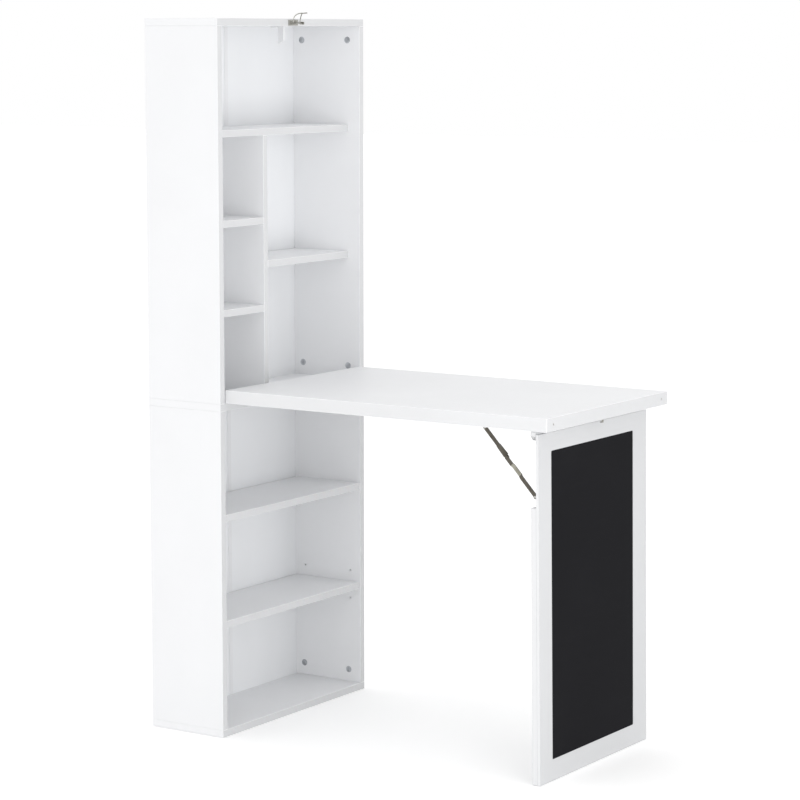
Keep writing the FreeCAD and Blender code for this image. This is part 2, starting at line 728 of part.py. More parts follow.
def make_desk():
    """The flap and all that turns with it."""
    screws = desk_hinge_screws(False) + leg_hinge_screws(True) + stay_screws(True) + keeper_screws()
    end_screws = desk_end_screws()
    holes = screw_holes(screws)
    panel = box(-DESK_HALF, -DESK_LENGTH, DESK_UNDER, DESK_HALF, 0, DESK_UNDER + DESK)
    save("desk_panel", [cut(panel, holes + screw_holes(end_screws))])
    leaves = [moved(standing_leaf(), x, HINGE_Y, HINGE_Z) for x in DESK_HINGE_X]
    save("desk_hinge_desk_leaves", [cut(leaf, holes) for leaf in leaves])
    leaves = [moved(flipped(lying_leaf()), x, LEG_HINGE_Y, LEG_HINGE_Z) for x in LEG_HINGE_X]
    save("leg_hinge_desk_leaves", [cut(leaf, holes) for leaf in leaves])
    save("leg_hinge_pins", [moved(hinge_pin(), x, LEG_HINGE_Y, LEG_HINGE_Z) for x in LEG_HINGE_X])
    bracket = desk_bracket()
    save("stay_desk_brackets", [cut(piece, holes) for piece in (mirrored(bracket), bracket)])
    rivet = stay_rivet(STAY_DESK, -1)
    save("stay_desk_rivets", [mirrored(rivet), rivet])
    save("latch_keeper", [cut(keeper(), holes)])
    save("desk_screws", finished_screws(screws))
    save("desk_end_screws", finished_screws(end_screws))


# ---------------------------------------------------------------- leg
def chalkboard(thickness):
    """The chalkboard sheet with rounded corners, or the pocket that it lies in."""
    left = -LEG_HALF + BOARD_FACE_LEFT_BORDER
    right = LEG_HALF - BOARD_FACE_RIGHT_BORDER
    top = LEG_HINGE_Z - BOARD_FACE_TOP_DROP
    rear = LEG_FRONT + BOARD_FACE_POCKET
    sheet = box(left, rear - thickness, BOARD_FACE_BOTTOM, right, rear, top)
    corners = [edge for edge in sheet.Edges if abs(edge.tangentAt(edge.FirstParameter).y) > 0.9]
    return sheet.makeFillet(BOARD_FACE_RADIUS, corners)


def leg_rail():
    """The rail at the leg's top, with its lower corners cut off at a slant."""
    top = DESK_UNDER - LEG_RAIL_TOP_GAP
    low = top - LEG_RAIL_HEIGHT
    slant = LEG_RAIL_HEIGHT / 2
    half = LEG_HALF
    points = [(-half, top), (half, top), (half, low + slant), (half - slant, low), (slant - half, low),
              (-half, low + slant), (-half, top)]
    outline = Part.makePolygon([FreeCAD.Vector(x, LEG_PANEL_BACK, z) for x, z in points])
    return Part.Face(outline).extrude(Y_AXIS * LEG_BATTEN)


def make_leg():
    """The leg panel and all that turns with it, built upright and then leaned."""
    hinge_screws = leg_hinge_screws(False)
    bracket_screws = stay_screws(False)
    holes = screw_holes(hinge_screws) + screw_holes(bracket_screws, PANEL_SCREW_LENGTH)
    inner = LEG_HALF - LEG_BATTEN_WIDTH
    panel = box(-LEG_HALF, LEG_FRONT, LEG_FOOT, LEG_HALF, LEG_PANEL_BACK, DESK_UNDER - LEG_PANEL_TOP_GAP)
    panel = cut(panel, holes + [chalkboard(BOARD_FACE_POCKET)])
    batten = box(inner, LEG_PANEL_BACK, LEG_FOOT, LEG_HALF, LEG_BACK, DESK_UNDER - BATTEN_TOP_DROP)
    foot_rail = box(-inner, LEG_PANEL_BACK, LEG_FOOT, inner, LEG_BACK, LEG_FOOT + LEG_FOOT_RAIL)
    save("leg_panel", [leaned(panel)])
    save("chalkboard", [leaned(chalkboard(BOARD_FACE_THICKNESS))])
    save("leg_top_rail", [leaned(cut(leg_rail(), holes))])
    save("leg_batten_left", [leaned(mirrored(batten))])
    save("leg_batten_right", [leaned(batten)])
    save("leg_foot_rail", [leaned(foot_rail)])
    leaf = flipped(standing_leaf())
    leaves = [cut(moved(leaf, x, LEG_HINGE_Y, LEG_HINGE_Z), holes) for x in LEG_HINGE_X]
    save("leg_hinge_leg_leaves", [leaned(piece) for piece in leaves])
    bracket = cut(leg_bracket(), holes)
    save("stay_leg_brackets", [leaned(mirrored(bracket)), leaned(bracket)])
    rivet = leaned(stay_rivet(STAY_LEG, 1))
    save("stay_leg_rivets", [mirrored(rivet), rivet])
    save("leg_hinge_screws", [leaned(screw) for screw in finished_screws(hinge_screws)])
    short_screws = finished_screws(bracket_screws, PANEL_SCREW_LENGTH)
    save("leg_bracket_screws", [leaned(screw) for screw in short_screws])


# ---------------------------------------------------------------- stays
def stay_line():
    """The straight stay: its lower pivot, its length and its slope down to the leg."""
    foot = lean_point(STAY_LEG)
    y = foot[0] - STAY_DESK[0]
    z = foot[1] - STAY_DESK[1]
    return foot, math.hypot(y, z), math.degrees(math.atan2(z, y))


def arm_lengths():
    """The upper and the lower arm: together the straight stay, and apart by the pivots' gap when folded."""
    length = stay_line()[1]
    apart = STAY_LEG_REACH - STAY_DESK_REACH
    return (length - apart) / 2, (length + apart) / 2


def stay_arm(left, right, length):
    """A flat arm with round ends along Y from the origin, bored for the rivet at its start."""
    half = STAY_BAR / 2
    bar = box(left, 0, -half, right, length, half)
    ends = [tube_across(0, 0, left, right, half), tube_across(length, 0, left, right, half)]
    return joined([bar] + ends).cut(tube_across(0, 0, left - 1, right + 1, STAY_RIVET_RADIUS + RUNNING_PLAY))


def placed(shape, pivot, slope):
    """A stay piece turned up from Y to its slope and moved to its pivot."""
    turned = shape.copy()
    turned.rotate(FreeCAD.Vector(0, 0, 0), X_AXIS, slope)
    turned.translate(FreeCAD.Vector(0, pivot[0], pivot[1]))
    return turned


def sleeve(length):
    """The lock sleeve round the upper arm, just short of the middle joint."""
    arm_in, arm_out, lug_in, lug_out = stay_planes()
    inner_high = STAY_BAR / 2 + SLEEVE_PLAY
    end = length - SLEEVE_FROM_JOINT
    start = end - SLEEVE_LENGTH
    x0 = STAY_X - arm_out - SLEEVE_PLAY
    x1 = STAY_X - arm_in + SLEEVE_PLAY
    outer = box(x0 - SLEEVE_WALL, start, -SLEEVE_HEIGHT / 2, x1 + SLEEVE_WALL, end, SLEEVE_HEIGHT / 2)
    return outer.cut(box(x0, start - 1, -inner_high, x1, end + 1, inner_high))


def make_stays():
    """Both stays, straight and locked. Each arm's middle end has its own half of the joint's rivet."""
    arm_in, arm_out, lug_in, lug_out = stay_planes()
    foot, length, slope = stay_line()
    upper_length, lower_length = arm_lengths()
    upper = stay_arm(STAY_X - arm_out, STAY_X - arm_in, upper_length)
    lower = stay_arm(STAY_X + arm_in, STAY_X + arm_out, lower_length)
    out = STAY_RIVET_HEAD_HEIGHT
    upper_head = tube_across(upper_length, 0, STAY_X - arm_out - out, STAY_X - arm_out, STAY_RIVET_HEAD)
    lower_head = tube_across(lower_length, 0, STAY_X + arm_out, STAY_X + arm_out + out, STAY_RIVET_HEAD)
    upper = placed(joined([upper, upper_head]), STAY_DESK, slope)
    lower = placed(joined([lower, lower_head]), foot, slope + 180)
    ring = placed(sleeve(upper_length), STAY_DESK, slope)
    save("stay_upper_arms", [mirrored(upper), upper])
    save("stay_lower_arms", [mirrored(lower), lower])
    save("stay_sleeve_left", [mirrored(ring)])
    save("stay_sleeve_right", [ring])


# ---------------------------------------------------------------- latch and flap stop
LATCH_Z = HEIGHT - LATCH_DROP - LATCH_HEIGHT / 2
BAIL_OPEN = (-LATCH_PIVOT_OUT - BAIL_ARM, LATCH_Z)
SWING = math.radians(LEVER_SWING)
BAIL_SHUT = (-LATCH_PIVOT_OUT - BAIL_ARM * math.cos(SWING), LATCH_Z + BAIL_ARM * math.sin(SWING))
KEEPER_SHUT_Z = HINGE_Z + HINGE_Y + DESK_LENGTH - KEEPER_FROM_END
WIRE_SHUT_Z = KEEPER_SHUT_Z - KEEPER_TO_WIRE - BAIL_WIRE
BAIL_LENGTH = BAIL_SHUT[1] - WIRE_SHUT_Z


def latch_base():
    """A plate on the top board's front edge with two lugs for the lever's pin."""
    half = LATCH_WIDTH / 2
    low = LATCH_Z - LATCH_HEIGHT / 2
    plate = box(-half, -LATCH_BASE, low, half, 0, low + LATCH_HEIGHT)
    inner = LATCH_CHEEK_X + LATCH_SHEET + LATCH_GAP
    pieces = [plate]
    for side in (-1, 1):
        x0, x1 = sorted((side * inner, side * (inner + LATCH_SHEET)))
        pieces.append(box(x0, -LATCH_PIVOT_OUT, LATCH_Z - LATCH_LUG_RADIUS,
                          x1, 0, LATCH_Z + LATCH_LUG_RADIUS))
        pieces.append(tube_across(-LATCH_PIVOT_OUT, LATCH_Z, x0, x1, LATCH_LUG_RADIUS))
    return joined(pieces).cut(tube_across(-LATCH_PIVOT_OUT, LATCH_Z, -half, half, LATCH_PIN_RADIUS))


def latch_pin():
    """The lever's pin, tight in the lugs."""
    end = LATCH_CHEEK_X + 2 * LATCH_SHEET + LATCH_GAP
    return tube_across(-LATCH_PIVOT_OUT, LATCH_Z, -end, end, LATCH_PIN_RADIUS)


def latch_screws():
    """Two screws at the base plate's ends."""
    x = LATCH_WIDTH / 2 - LATCH_SCREW_INSET
    return [((side * x, -LATCH_BASE, LATCH_Z), REAR) for side in (-1, 1)]


def latch_lever():
    """A channel-shaped lever, modelled open and level: two cheeks on the pin and a web to press on."""
    half_depth = LEVER_HALF_DEPTH
    end = -LATCH_PIVOT_OUT - LEVER_LENGTH
    pieces = []
    for side in (-1, 1):
        x0, x1 = sorted((side * LATCH_CHEEK_X, side * (LATCH_CHEEK_X + LATCH_SHEET)))
        pieces.append(tube_across(-LATCH_PIVOT_OUT, LATCH_Z, x0, x1, half_depth))
        pieces.append(box(x0, end, LATCH_Z - half_depth, x1, -LATCH_PIVOT_OUT, LATCH_Z + half_depth))
    outer = LATCH_CHEEK_X + LATCH_SHEET
    bottom = LATCH_Z - half_depth
    pieces.append(box(-outer, end, bottom, outer, -LATCH_PIVOT_OUT - LEVER_WEB_START, bottom + LEVER_WEB))
    left, right = -outer - 1, outer + 1
    pin_bore = tube_across(-LATCH_PIVOT_OUT, LATCH_Z, left, right, LATCH_PIN_RADIUS + RUNNING_PLAY)
    bail_bore = tube_across(*BAIL_OPEN, left, right, BAIL_WIRE + RUNNING_PLAY)
    return cut(joined(pieces), [pin_bore, bail_bore])


def bail_point(x, along):
    """A point of the open bail, at a distance along it from its pivot."""
    rise = math.radians(BAIL_RISE)
    return FreeCAD.Vector(x, BAIL_OPEN[0] - along * math.cos(rise), BAIL_OPEN[1] + along * math.sin(rise))


def latch_bail():
    """A wire bail: two legs from the lever's cheeks that close in to a narrow loop at the tip."""
    wide = BAIL_HALF_WIDTH
    narrow = BAIL_TIP_HALF_WIDTH
    shoulder = BAIL_LENGTH * BAIL_SHOULDER
    neck = BAIL_LENGTH * BAIL_NECK
    half = [(LATCH_CHEEK_X, 0), (wide, 0), (wide, shoulder), (narrow, neck), (narrow, BAIL_LENGTH)]
    points = [bail_point(x, along) for x, along in half]
    points += [bail_point(-x, along) for x, along in reversed(half)]
    pieces = []
    for first, second in zip(points, points[1:]):
        run = second.sub(first)
        pieces.append(Part.makeCylinder(BAIL_WIRE, run.Length, first, run))
    pieces += [Part.makeSphere(BAIL_WIRE, point) for point in points[1:-1]]
    return pieces[0].multiFuse(pieces[1:])


def flap_stop():
    """A pointed stop under the top board, just behind the folded flap."""
    front = UPPER_FRONT
    rear = front + STOP_DEPTH
    half = STOP_WIDTH / 2
    low = TOP_UNDER - STOP_DROP
    points = [(front, TOP_UNDER), (rear, TOP_UNDER), (rear, low), (front, low + STOP_TIP), (front, TOP_UNDER)]
    outline = Part.makePolygon([FreeCAD.Vector(STOP_X - half, y, z) for y, z in points])
    blade = Part.Face(outline).extrude(X_AXIS * STOP_WIDTH)
    side = STOP_FLANGE_WIDTH / 2
    flange = box(STOP_X - side, rear, TOP_UNDER - STOP_FLANGE,
                 STOP_X + side, rear + STOP_FLANGE_DEPTH, TOP_UNDER)
    return joined([blade, flange])


def stop_screws():
    """Two screws through the stop's flange into the top board."""
    y = UPPER_FRONT + STOP_DEPTH + STOP_FLANGE_DEPTH / 2
    x = STOP_FLANGE_WIDTH / 4
    return [((STOP_X + side * x, y, TOP_UNDER - STOP_FLANGE), UP) for side in (-1, 1)]


def make_cabinet_hardware(screws):
    """The metal and plastic pieces that stay on the carcass."""
    holes = screw_holes(screws)
    leaves = [moved(lying_leaf(), x, HINGE_Y, HINGE_Z) for x in DESK_HINGE_X]
    save("desk_hinge_board_leaves", [cut(leaf, holes) for leaf in leaves])
    save("desk_hinge_pins", [moved(hinge_pin(), x, HINGE_Y, HINGE_Z) for x in DESK_HINGE_X])
    save("latch_base", [cut(latch_base(), holes)])
    save("latch_pin", [latch_pin()])
    save("flap_stop", [cut(flap_stop(), holes)])
    save("cabinet_screws", finished_screws(screws))
    save("latch_lever", [latch_lever()])
    save("latch_bail", [latch_bail()])


def folded_stay():
    """How far each arm turns while the leg folds: the upper arm on the desk and the lower arm on the leg."""
    foot, length, slope = stay_line()
    upper, lower = arm_lengths()
    y = STAY_LEG_REACH - STAY_DESK_REACH
    z = LEG_HINGE_Z + STAY_LEG[0] - LEG_HINGE_Y - STAY_DESK[1]
    apart = math.hypot(y, z)
    corner = math.acos((upper ** 2 + apart ** 2 - lower ** 2) / (2 * upper * apart))
    upper_angle = math.atan2(z, y) - corner
    lower_angle = math.atan2(upper * math.sin(upper_angle) - z, upper * math.cos(upper_angle) - y)
    upper_turn = math.degrees(upper_angle) - slope
    lower_turn = math.degrees(lower_angle) % 360 - (slope + 180) - (90 + LEG_LEAN)
    return -upper_turn % 360, lower_turn


def print_joints():
    """The joint places and swings that belong to these sizes."""
    foot, length, slope = stay_line()
    upper_turn, lower_turn = folded_stay()
    print("desk_hinge", HINGE_Y, HINGE_Z)
    print("leg_hinge", LEG_HINGE_Y, LEG_HINGE_Z)
    print("leg_swing", 90 + LEG_LEAN)
    print("stay_desk_pivot", *STAY_DESK)
    print("stay_leg_pivot", *foot)
    print("stay_slope", slope)
    print("stay_turns", upper_turn, lower_turn)
    print("latch_pivot", -LATCH_PIVOT_OUT, LATCH_Z)
    print("bail_pivot", *BAIL_OPEN)
    print("bail_turn", 90 + BAIL_RISE + LEVER_SWING)


os.makedirs("parts", exist_ok=True)
cabinet_screws = desk_hinge_screws(True) + latch_screws() + stop_screws()
make_carcass(cabinet_screws)
make_cabinet_hardware(cabinet_screws)
make_desk()
make_leg()
make_stays()
print_joints()
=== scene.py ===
import json
import math

import bmesh
import bpy
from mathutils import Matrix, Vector


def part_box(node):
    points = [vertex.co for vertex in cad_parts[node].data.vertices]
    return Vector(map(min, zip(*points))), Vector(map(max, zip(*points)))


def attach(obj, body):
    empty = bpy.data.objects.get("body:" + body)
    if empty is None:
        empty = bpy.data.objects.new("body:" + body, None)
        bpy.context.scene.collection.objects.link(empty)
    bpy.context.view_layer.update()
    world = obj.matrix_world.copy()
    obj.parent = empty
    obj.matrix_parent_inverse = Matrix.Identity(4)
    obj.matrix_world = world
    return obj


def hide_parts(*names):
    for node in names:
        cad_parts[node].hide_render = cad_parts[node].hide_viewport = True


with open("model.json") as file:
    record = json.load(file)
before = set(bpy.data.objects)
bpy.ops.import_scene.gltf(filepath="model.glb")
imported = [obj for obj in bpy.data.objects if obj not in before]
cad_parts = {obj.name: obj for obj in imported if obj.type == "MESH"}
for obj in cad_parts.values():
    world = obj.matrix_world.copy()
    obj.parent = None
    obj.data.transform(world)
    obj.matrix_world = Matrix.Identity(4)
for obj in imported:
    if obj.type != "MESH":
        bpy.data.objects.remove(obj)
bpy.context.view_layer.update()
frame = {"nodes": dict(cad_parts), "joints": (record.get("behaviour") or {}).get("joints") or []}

nodes = frame["nodes"]

# ------------------------------------------------------------------ camera
# A camera with a long lens, at eye height and to the left of the bookcase's front. It stands about six
# metres away and looks slightly down.
LENS = 122.3
TILT_DOWN = math.radians(7.62)
TURN = math.radians(-56.61)
camera_data = bpy.data.cameras.new("camera")
camera_data.lens = LENS
camera_data.clip_end = 60.0
camera = bpy.data.objects.new("camera", camera_data)
bpy.context.scene.collection.objects.link(camera)
camera.location = (-4.806, -3.444, 1.492)
camera.rotation_euler = (math.pi / 2 - TILT_DOWN, 0, TURN)
bpy.context.scene.camera = camera

# ------------------------------------------------------------------ studio
# A white floor and a white surround, which gives most of the light. Three square soft lamps at the front and
# left add to it. The floor glows to the camera only, so that it looks as white as the surround and still
# shows a soft shadow.
FLOOR_DROP = 0.0005
FLOOR_GLOW = 0.2
bpy.context.scene.view_settings.view_transform = "Standard"
bpy.ops.object.select_all(action="DESELECT")
bpy.ops.mesh.primitive_plane_add(size=60, location=(0, 0, -FLOOR_DROP))
floor = bpy.context.object
floor.name = "studio_floor"
floor_finish = bpy.data.materials.new("studio_floor")
floor_finish.use_nodes = True
floor_shader = floor_finish.node_tree.nodes["Principled BSDF"]
floor_shader.inputs["Base Color"].default_value = (0.93, 0.93, 0.93, 1)
floor_shader.inputs["Roughness"].default_value = 0.9
floor_shader.inputs["Emission Strength"].default_value = FLOOR_GLOW
seen = floor_finish.node_tree.nodes.new("ShaderNodeLightPath")
floor_finish.node_tree.links.new(seen.outputs["Is Camera Ray"], floor_shader.inputs["Emission Color"])
floor.data.materials.append(floor_finish)

world = bpy.data.worlds.new("studio")
world.use_nodes = True
surround = world.node_tree.nodes["Background"]
surround.inputs["Color"].default_value = (1, 1, 1, 1)
surround.inputs["Strength"].default_value = 1.0
bpy.context.scene.world = world


def lamp(name, place, target, size, power):
    """A square soft lamp that faces a target."""
    data = bpy.data.lights.new(name, "AREA")
    data.size = size
    data.energy = power
    holder = bpy.data.objects.new(name, data)
    bpy.context.scene.collection.objects.link(holder)
    holder.location = place
    aim = Vector(target) - Vector(place)
    holder.rotation_euler = aim.to_track_quat("-Z", "Y").to_euler()


lamp("left_softbox", (-3.4, -0.6, 1.9), (0, 0, 0.8), 2.4, 3)
lamp("front_softbox", (-2.4, -7.0, 1.3), (0, 0, 0.8), 4.0, 36)
lamp("low_softbox", (-1.7, -3.0, 0.4), (0.1, 0, 0.38), 1.4, 28)

# ------------------------------------------------------------------ white boards
# Chipboard faced with white melamine on both sides and banded on its edges. The boards are sawn square, and
# the bands are trimmed flush with a tiny round. The face has a fine pearl texture that softens its shine.
MELAMINE = (0.875, 0.88, 0.892)
# The edge band is painted a darker grey than the face: painted shade on the edges that face the front.
EDGE_BAND_PAINTED_SHADE = (0.65, 0.655, 0.665)
BAND_ROUND = 0.0006
# The cosine past which a face counts as looking along a direction.
FACING = 0.98


class Wire:
    """One output of a material's nodes. Arithmetic on it adds Math nodes."""

    def __init__(self, tree, socket=None):
        self.tree = tree
        self.socket = socket

    def add(self, kind, settings=(), values=(), output=0):
        """A node of any type: its settings first, then the values or links of its sockets."""
        node = self.tree.nodes.new(kind)
        for name, value in dict(settings).items():
            setattr(node, name, value)
        for name, value in dict(values).items():
            if isinstance(value, Wire):
                self.tree.links.new(value.socket, node.inputs[name])
            else:
                node.inputs[name].default_value = value
        return Wire(self.tree, node.outputs[output])

    def math(self, operation, *terms):
        """A Math node on this value and the terms after it."""
        return self.add("ShaderNodeMath", {"operation": operation}, dict(enumerate((self,) + terms)))

    def __add__(self, other):
        return self.math("ADD", other)

    def __radd__(self, other):
        return self.math("ADD", other)

    def __sub__(self, other):
        return self.math("SUBTRACT", other)

    def __rsub__(self, other):
        return (self * -1).math("ADD", other)

    def __mul__(self, other):
        return self.math("MULTIPLY", other)

    def __rmul__(self, other):
        return self.math("MULTIPLY", other)

    def between(self, low, high):
        """0 below low, 1 above high, and even between them."""
        span = {"Value": self, "From Min": low, "From Max": high}
        return self.add("ShaderNodeMapRange", {"clamp": True}, span)

    def noise(self, scale, detail=3.0):
        """Noise over this vector."""
        return self.add("ShaderNodeTexNoise", {}, {"Vector": self, "Scale": scale, "Detail": detail})

    def stretched(self, factors):
        """This vector with each axis scaled, for grain and brush marks."""
        return self.add("ShaderNodeMapping", {"vector_type": "POINT"}, {"Vector": self, "Scale": factors})

    def blend(self, first, second):
        """One colour or another, by this mask."""
        mixed = {"Factor": self, 6: first + (1,), 7: second + (1,)}
        return self.add("ShaderNodeMix", {"data_type": "RGBA"}, mixed, 2)

    def bump(self, distance, strength=1.0):
        """A normal that follows this height."""
        return self.add("ShaderNodeBump", {}, {"Height": self, "Distance": distance, "Strength": strength})


def new_finish(name, **constants):
    """A material, its shader and its object coordinates. Constants go on the shader's own sockets."""
    finish = bpy.data.materials.new(name)
    finish.use_nodes = True
    tree = finish.node_tree
    shader = tree.nodes["Principled BSDF"]
    for socket, value in constants.items():
        shader.inputs[socket.replace("_", " ")].default_value = value
    place = Wire(tree).add("ShaderNodeTexCoord", {}, {}, 3)
    return finish, shader, place


def feed(shader, **wires):
    """Links values that vary over the surface to the shader."""
    for socket, wire in wires.items():
        wire.tree.links.new(wire.socket, shader.inputs[socket.replace("_", " ")])


def melamine(name, colour, pearl=1.0):
    """White melamine: a pearl texture, faint cloudiness in the paper, and light rub marks in the shine."""
    finish, shader, place = new_finish(name, Coat_Roughness=0.35, Specular_IOR_Level=0.45)
    cloud = place.noise(5.0, 4.0).between(0.35, 0.65)
    speck = place.noise(420.0, 2.0)
    rub = place.stretched((14.0, 14.0, 2.2)).noise(3.0, 5.0).between(0.52, 0.7)
    greyer = tuple(part * 0.975 for part in colour)
    feed(shader, Base_Color=(cloud * 0.7 + speck * 0.3).blend(colour, greyer))
    feed(shader, Roughness=0.36 + speck * 0.12 + rub * 0.08)
    height = speck * pearl + place.noise(90.0, 2.0) * 0.4
    feed(shader, Normal=height.bump(0.00006, 0.6))
    return finish


board_face = melamine("melamine_face", MELAMINE)
# This copy of the melamine carries painted shade, a darker grey for the front-facing edges.
board_edge_painted_shade = melamine("edge_band_painted_shade", EDGE_BAND_PAINTED_SHADE, 0.3)


def pick(piece):
    """Makes one object the only one selected and the active one."""
    bpy.ops.object.select_all(action="DESELECT")
    piece.select_set(True)
    bpy.context.view_layer.objects.active = piece


def copied(node, name):
    """A new piece from a copy of a CAD node's mesh, merged and with its flat faces whole again."""
    piece = bpy.data.objects.new(name, nodes[node].data.copy())
    bpy.context.scene.collection.objects.link(piece)
    piece.data.materials.clear()
    pick(piece)
    bpy.ops.object.mode_set(mode="EDIT")
    bpy.ops.mesh.select_all(action="SELECT")
    bpy.ops.mesh.remove_doubles(threshold=0.000002)
    bpy.ops.mesh.dissolve_limited(angle_limit=math.radians(0.3))
    bpy.ops.object.mode_set(mode="OBJECT")
    return piece


def soften(piece, width, rounds=2, shortest=0.008, sharper=50):
    """Rounds the outer edges of a piece that are long and sharp enough, and smooths its shading."""
    pick(piece)
    bpy.ops.object.mode_set(mode="EDIT")
    bpy.ops.mesh.select_mode(type="EDGE")
    bpy.ops.mesh.select_all(action="DESELECT")
    mesh = bmesh.from_edit_mesh(piece.data)
    for edge in mesh.edges:
        if edge.is_manifold and edge.calc_length() > shortest:
            edge.select = edge.calc_face_angle_signed() > math.radians(sharper)
    bmesh.update_edit_mesh(piece.data)
    bpy.ops.mesh.bevel(offset=width, segments=rounds, affect="EDGES", clamp_overlap=True)
    bpy.ops.object.mode_set(mode="OBJECT")
    bpy.ops.object.shade_smooth_by_angle(angle=math.radians(sharper))
    weights = piece.modifiers.new("weights", "WEIGHTED_NORMAL")
    weights.keep_sharp = True
    weights.weight = 100
    bpy.ops.object.modifier_apply(modifier=weights.name)
    return piece


def banded(piece, direction, face_finish, edge_finish):
    """Gives the faces that look along a direction the edge's finish, and all others the face's."""
    piece.data.materials.append(face_finish)
    piece.data.materials.append(edge_finish)
    for face in piece.data.polygons:
        face.material_index = int(face.normal.dot(Vector(direction)) > FACING)


def board(node, direction=(0, -1, 0), body="cabinet", face_finish=board_face, edge_finish=board_edge_painted_shade):
    """One finished board that stands for its CAD node."""
    piece = soften(copied(node, node + "_board"), BAND_ROUND)
    banded(piece, direction, face_finish, edge_finish)
    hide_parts(node)
    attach(piece, body)


for node in ("bottom_board", "lower_left_side", "lower_right_side", "middle_board", "upper_left_side",
             "upper_right_side", "top_board"):
    board(node)

# ------------------------------------------------------------------ shelves and divider
# The same banded board, 15 mm thick. The lower carcass has a fixed shelf, and one that lies on hidden pins.
# The upper shelves and the divider stand back from the front, which leaves room for the folded flap.
for node in ("fixed_shelf", "adjustable_shelf", "upper_shelf", "divider", "left_shelf_upper",
             "left_shelf_lower", "right_shelf"):
    board(node)

# ------------------------------------------------------------------ back panels
# Thin hardboard with a smooth white foil on its front. Each carcass has two halves in grooves, and a
# white plastic H strip joins them. The foil is a little bluer and flatter than the boards.
BACK_FOIL = (0.865, 0.875, 0.89)
BACK_FOIL_GREYER = tuple(part * 0.97 for part in BACK_FOIL)
PANEL_ROUND = 0.0003
STRIP_ROUND = 0.00025
back_foil, shader, place = new_finish("back_foil", Specular_IOR_Level=0.35)
ripple = place.stretched((2.0, 1.0, 0.7)).noise(4.0, 3.0)
fibre = place.noise(600.0, 3.0)
feed(shader, Base_Color=ripple.between(0.3, 0.7).blend(BACK_FOIL, BACK_FOIL_GREYER))
feed(shader, Roughness=0.5 + fibre * 0.15)
feed(shader, Normal=(ripple * 4.0 + fibre * 0.12).bump(0.0002, 0.5))

white_plastic, shader, place = new_finish("white_plastic", Specular_IOR_Level=0.5)
mould = place.noise(700.0, 2.0)
feed(shader, Base_Color=place.noise(30.0).blend((0.82, 0.825, 0.835), (0.79, 0.795, 0.81)))
feed(shader, Roughness=0.3 + mould * 0.2)
feed(shader, Normal=mould.bump(0.00003, 0.6))

for level in ("lower", "upper"):
    for half in ("left", "right"):
        node = level + "_back_" + half
        panel = soften(copied(node, node + "_foil"), PANEL_ROUND, 1)
        panel.data.materials.append(back_foil)
        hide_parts(node)
        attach(panel, "cabinet")
    strip = soften(copied(level + "_back_joiner", level + "_joining_strip"), STRIP_ROUND)
    strip.data.materials.append(white_plastic)
    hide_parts(level + "_back_joiner")
    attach(strip, "cabinet")

# ------------------------------------------------------------------ fasteners
# Cams are die-cast zinc, dull and grainy. Bolts, screws, hinge leaves and pins are steel with a bright zinc
# plating that shows fine rolling marks. Dowels are plain beech.
def plated(name, colour, roughness, streaks, tarnish):
    """Plated sheet or wire: fine marks, cloudy tarnish, and a soft mottle in its shine."""
    finish, shader, place = new_finish(name)
    marks = place.stretched(streaks).noise(160.0, 4.0)
    cloud = place.noise(65.0, 5.0).between(0.4, 0.68)
    spots = place.noise(900.0, 2.0)
    feed(shader, Base_Color=(cloud * 0.8 + marks * 0.2).blend(colour, tarnish))
    feed(shader, Roughness=roughness + marks * 0.14 + cloud * 0.1)
    feed(shader, Metallic=1.0 - cloud * 0.12)
    feed(shader, Normal=(marks + spots * 0.5).bump(0.00004, 0.7))
    return finish


zinc_cast = plated("zinc_casting", (0.66, 0.675, 0.70), 0.5, (1, 1, 1), (0.34, 0.35, 0.37))
bright_steel = plated("bright_zinc_plate", (0.66, 0.66, 0.65), 0.22, (1, 6, 6), (0.48, 0.47, 0.44))

beech, shader, place = new_finish("beech")
grain = place.stretched((40.0, 300.0, 300.0)).noise(1.0, 6.0).between(0.35, 0.65)
feed(shader, Base_Color=grain.blend((0.60, 0.43, 0.26), (0.45, 0.30, 0.17)))
feed(shader, Roughness=0.6 + grain * 0.15)
feed(shader, Normal=grain.bump(0.0001, 0.5))


def dress(finish, *names):
    """Gives CAD nodes whose shape is right a finish."""
    for name in names:
        node = nodes[name]
        if not node.material_slots:
            node.data.materials.append(None)
        for holder in node.material_slots:
            holder.link = "OBJECT"
            holder.material = finish


dress(zinc_cast, "cam_locks")
dress(beech, "dowels")
dress(bright_steel, "cam_bolts", "shelf_pins", "divider_screws", "cabinet_screws", "desk_screws",
      "desk_end_screws", "leg_hinge_screws", "leg_bracket_screws", "desk_hinge_pins", "leg_hinge_pins",
      "latch_pin", "stay_desk_rivets", "stay_leg_rivets")

# ------------------------------------------------------------------ flap stop
# A small pointed moulding of white plastic, screwed up into the top board. It stands just behind the folded
# flap, and keeps it from swinging in too far.
MOULDING_ROUND = 0.0007
stop = soften(copied("flap_stop", "flap_stop_moulding"), MOULDING_ROUND, 3, 0.003)
stop.data.materials.append(white_plastic)
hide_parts("flap_stop")
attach(stop, "cabinet")

# ------------------------------------------------------------------ desk flap
# One thick melamine panel with a slightly fuller round on its banded edges, so that forearms can rest on it.
# The band on its long sides is painted a little whiter than the one on its end: painted light on the long
# sides, and painted shade on the end. Three hinges hold it at its back.
FLAP_ROUND = 0.0012
# Painted light: a whiter copy of the band for the edges that face sideways, towards the lamp.
SIDE_BAND_PAINTED_LIGHT = (0.77, 0.775, 0.785)
PAINTED_LIGHT_BAND_INDEX = 2
side_edge_painted_light = melamine("side_band_painted_light", SIDE_BAND_PAINTED_LIGHT, 0.3)
flap = soften(copied("desk_panel", "desk_flap"), FLAP_ROUND, 3, 0.02)
banded(flap, (0, -1, 0), board_face, board_edge_painted_shade)
flap.data.materials.append(side_edge_painted_light)
for face in flap.data.polygons:
    if abs(face.normal.x) > FACING:
        face.material_index = PAINTED_LIGHT_BAND_INDEX
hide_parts("desk_panel")
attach(flap, "desk")

